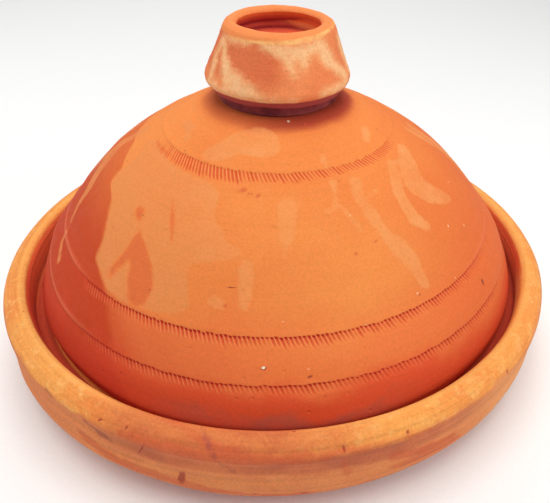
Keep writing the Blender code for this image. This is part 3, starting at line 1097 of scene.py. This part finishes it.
def dish_outside(clay):
    """The wall, painted paler at both sides where more light falls, and the darker step between it and the
    lip, painted shade in its recess.
    """
    span, noise, paint, x = clay.span, clay.noise, clay.paint, clay.x
    height = clay.plus(clay.z, clay.sway(40, 0.008))
    body = clay.mix(span(noise(18, 4, 0.6, shift=1), 0.35, 0.65), (0.6, 0.125, 0.048), (0.74, 0.245, 0.08))
    # painted shade in the recessed step under the lip
    step = clay.mix(span(noise(30, 3, 0.6), 0.35, 0.65), (0.48, 0.112, 0.052), (0.64, 0.17, 0.066))
    below_lip = span(height, 0.0465, 0.043)
    paint(body, below_lip)
    paint(step, span(height, 0.0465, 0.0435), span(height, 0.0335, 0.0375), 0.85)
    # painted light: the wall paler at both sides
    paint((0.82, 0.34, 0.115), span(x, 0.055, 0.11), below_lip, 0.75)
    paint((0.8, 0.27, 0.08), span(x, -0.055, -0.085), below_lip, 0.6)


def dish_inside(clay):
    """The inside under the lid, with turning lines: redder, partly its own colour and partly painted shade in
    the gap, and the ledge with a painted lit strip.
    """
    span, times, paint, x, y, z = clay.span, clay.times, clay.paint, clay.x, clay.y, clay.z
    # the front right of the inner wall, where light reaches it, keeps the lip colour: painted light
    lit_side = times(span(x, 0.03, 0.07), span(y, -0.02, -0.05), span(z, 0.0385, 0.0415))
    inner = times(span(clay.radius, 0.1381, 0.1373), span(z, 0.0005, 0.003), clay.minus(1, lit_side))
    # the inner wall darker red: partly the clay's own colour, partly painted shade in the gap, darkest low on
    # the right
    sides = clay.mix(span(y, -0.06, 0.01), (0.64, 0.072, 0.026), (0.74, 0.14, 0.046))
    low_right_shade = times(span(x, 0, 0.06), span(z, 0.0395, 0.036))
    sides = clay.mix(low_right_shade, sides, (0.48, 0.05, 0.02))
    lined = span(clay.streaks(14, 700, 3, 0.6, 4), 0.3, 0.7, 0.84, 1.13)
    paint(clay.tone(sides, lined), inner)
    # on the ledge: a painted lit strip next to the lip, painted shade elsewhere
    strip = times(
        span(clay.radius, 0.1262, 0.1272), span(clay.radius, 0.1306, 0.1298), span(y, -0.05, -0.066)
    )
    ledge = clay.mix(strip, (0.5, 0.052, 0.02), (0.84, 0.245, 0.056))
    on_ledge = span(clay.gap(z, 0.0336), 0.0016, 0.0004)
    paint(ledge, inner, on_ledge, span(x, -0.02, -0.06))


def dish_material():
    clay = Clay("dish_clay_fired")
    dish_lip(clay)
    dish_outside(clay)
    dish_inside(clay)
    stain = clay.span(clay.ragged(clay.value("stain"), 70, 6), -1.2, 2, 0, 0.6)
    clay.paint((0.58, 0.092, 0.034), stain)
    smoke = clay.span(clay.ragged(clay.value("smoke"), 140, 4), -0.5, 1.4, 0, 0.6)
    clay.paint((0.3, 0.06, 0.05), smoke)
    clay_grain(clay, 0.11, 0.09, 0.06)
    small_marks(clay, (0.36, 0.045, 0.026))
    return finish_clay(clay, 0.74, 0.93, 0.00014)


def knob_material():
    clay = Clay("knob_clay_fired")
    span, noise, paint, z, radius = clay.span, clay.noise, clay.paint, clay.z, clay.radius
    clay.colour = clay.mix(
        span(noise(30, 4, 0.6, bend=0.5), 0.3, 0.7), (0.75, 0.19, 0.062), (0.81, 0.25, 0.086)
    )
    paint((0.62, 0.115, 0.042), span(z, 0.151, 0.158), span(clay.x, 0.006, -0.004), 0.6)
    bloom = clay.ragged(clay.ragged(clay.value("bloom"), 170, 7), 640, 3)
    paint((0.84, 0.385, 0.16), span(bloom, -3, 1.4, 0, 0.84))
    dusted = span(noise(260, 4, 0.7), 0.3, 0.55, 0.2, 0.62)
    paint((0.88, 0.53, 0.265), span(bloom, -0.2, 2.6), dusted)
    paint((0.81, 0.245, 0.072), span(radius, 0.0275, 0.0263), span(z, 0.17, 0.1715))
    edge = clay.times(span(clay.gap(radius, 0.0268), 0.0008, 0.0002), span(z, 0.17, 0.171))
    paint((0.88, 0.47, 0.16), edge, span(noise(140, 4, 0.65), 0.35, 0.6, 0.15, 0.85))
    # painted shade on the knob's underside, below its widest point
    paint((0.36, 0.06, 0.055), span(clay.ragged(z, 200, 0.0008), 0.1474, 0.1464))
    # painted shade inside the knob's cup: dark rings down its wall, a less dark floor
    turned = clay.math("MULTIPLY_ADD", clay.math("SINE", clay.times(z, 1900)), 0.5, 0.5)
    ring_shade = clay.mix(turned, (0.27, 0.02, 0.022), (0.48, 0.06, 0.034))
    cup = clay.mix(span(z, 0.1645, 0.1632), ring_shade, (0.7, 0.095, 0.04))
    paint(cup, span(radius, 0.0227, 0.0219), span(z, 0.1714, 0.169))
    clay_grain(clay, 0.09, 0.03)
    return finish_clay(clay, 0.76, 0.94, 0.00005, 0.00013)


def collar_material():
    clay = Clay("collar_clay_fired")
    broad = clay.span(clay.noise(60, 4, 0.6), 0.3, 0.7)
    # the collar is painted very dark: shade under the knob's overhang
    clay.colour = clay.mix(broad, (0.15, 0.019, 0.025), (0.37, 0.06, 0.055))
    clay_grain(clay, 0.12)
    return finish_clay(clay, 0.8, 0.95)


# -------- stage, lights and camera


def build_floor():
    mesh = bpy.data.meshes.new("studio_floor")
    size = 4.0
    mesh.from_pydata(
        [(-size, -size, 0), (size, -size, 0), (size, size, 0), (-size, size, 0)], [], [(0, 1, 2, 3)]
    )
    floor = bpy.data.objects.new("studio_floor", mesh)
    floor.location.z = CAD_BOX[0][2] - 0.0004
    bpy.context.scene.collection.objects.link(floor)
    paper = Clay("pale_studio_paper")
    fibre = paper.noise(500.0, 4.0, 0.6)
    colour = paper.mix(paper.span(fibre, 0.2, 0.8), (0.88, 0.88, 0.87), (0.91, 0.91, 0.9))
    mesh.materials.append(paper.finish(colour, 0.9, paper.bump(fibre, 0.00005)))
    floor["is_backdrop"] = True


def area_light(name, place, target, size, power):
    data = bpy.data.lights.new(name, "AREA")
    data.shape = "DISK"
    data.size = size
    data.energy = power
    light = bpy.data.objects.new(name, data)
    light.location = place
    light.rotation_euler = (Vector(target) - Vector(place)).to_track_quat("-Z", "Y").to_euler()
    bpy.context.scene.collection.objects.link(light)


def build_lights():
    middle = (0.0, 0.0, 0.08)
    for light in (
        ("overhead_softbox", (0.0, -0.14, 1.15), middle, 0.9, 8.4),
        ("front_softbox", (0.05, -0.85, 1.2), middle, 0.7, 3.8),
        ("right_softbox", (1.0, -0.3, 0.48), middle, 0.7, 3.4),
        ("left_softbox", (-1.0, 0.2, 0.42), middle, 0.7, 2.6),
        ("floor_softbox", (0.0, 1.4, 1.1), (0.0, 1.1, 0.0), 1.2, 7.0),
    ):
        area_light(*light)
    world = bpy.data.worlds.new("studio")
    world.use_nodes = True
    background = world.node_tree.nodes["Background"]
    background.inputs["Color"].default_value = (1.0, 1.0, 1.0, 1.0)
    background.inputs["Strength"].default_value = 0.25
    bpy.context.scene.world = world
    bpy.context.scene.view_settings.view_transform = "Standard"


def build_camera():
    """The camera looks down at the pot from in front, as the viewer sees it."""
    lip, rim_height = 0.138, 0.05
    pitch, yaw, roll = math.radians(35.57), math.radians(6.03), math.radians(2.35)
    ahead = Vector((math.sin(yaw) * math.cos(pitch), math.cos(yaw) * math.cos(pitch), -math.sin(pitch)))
    right = Vector((math.cos(yaw), -math.sin(yaw), 0.0))
    up = right.cross(ahead)
    x_axis = right * math.cos(roll) + up * math.sin(roll)
    y_axis = up * math.cos(roll) - right * math.sin(roll)
    turned = Matrix((x_axis, y_axis, -ahead)).transposed().to_4x4()
    data = bpy.data.cameras.new("camera")
    data.sensor_fit = "HORIZONTAL"
    data.sensor_width = 36.0
    data.lens = 40.91
    data.shift_x = -0.1095
    data.clip_start = 0.01
    camera = bpy.data.objects.new("camera", data)
    camera.matrix_world = Matrix.Translation((0.0, -2.193 * lip, 1.5 * lip + rim_height)) @ turned
    bpy.context.scene.collection.objects.link(camera)
    bpy.context.scene.camera = camera


def save_sizes():
    def plain(box):
        return [[float(v) for v in corner] for corner in box]

    {"cad": plain(CAD_BOX), "visual": plain(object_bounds())}


build_dome().data.materials.append(dome_material())
build_dish().data.materials.append(dish_material())
build_knob().data.materials.append(knob_material())
build_collar().data.materials.append(collar_material())
build_floor()
build_lights()
build_camera()
save_sizes()
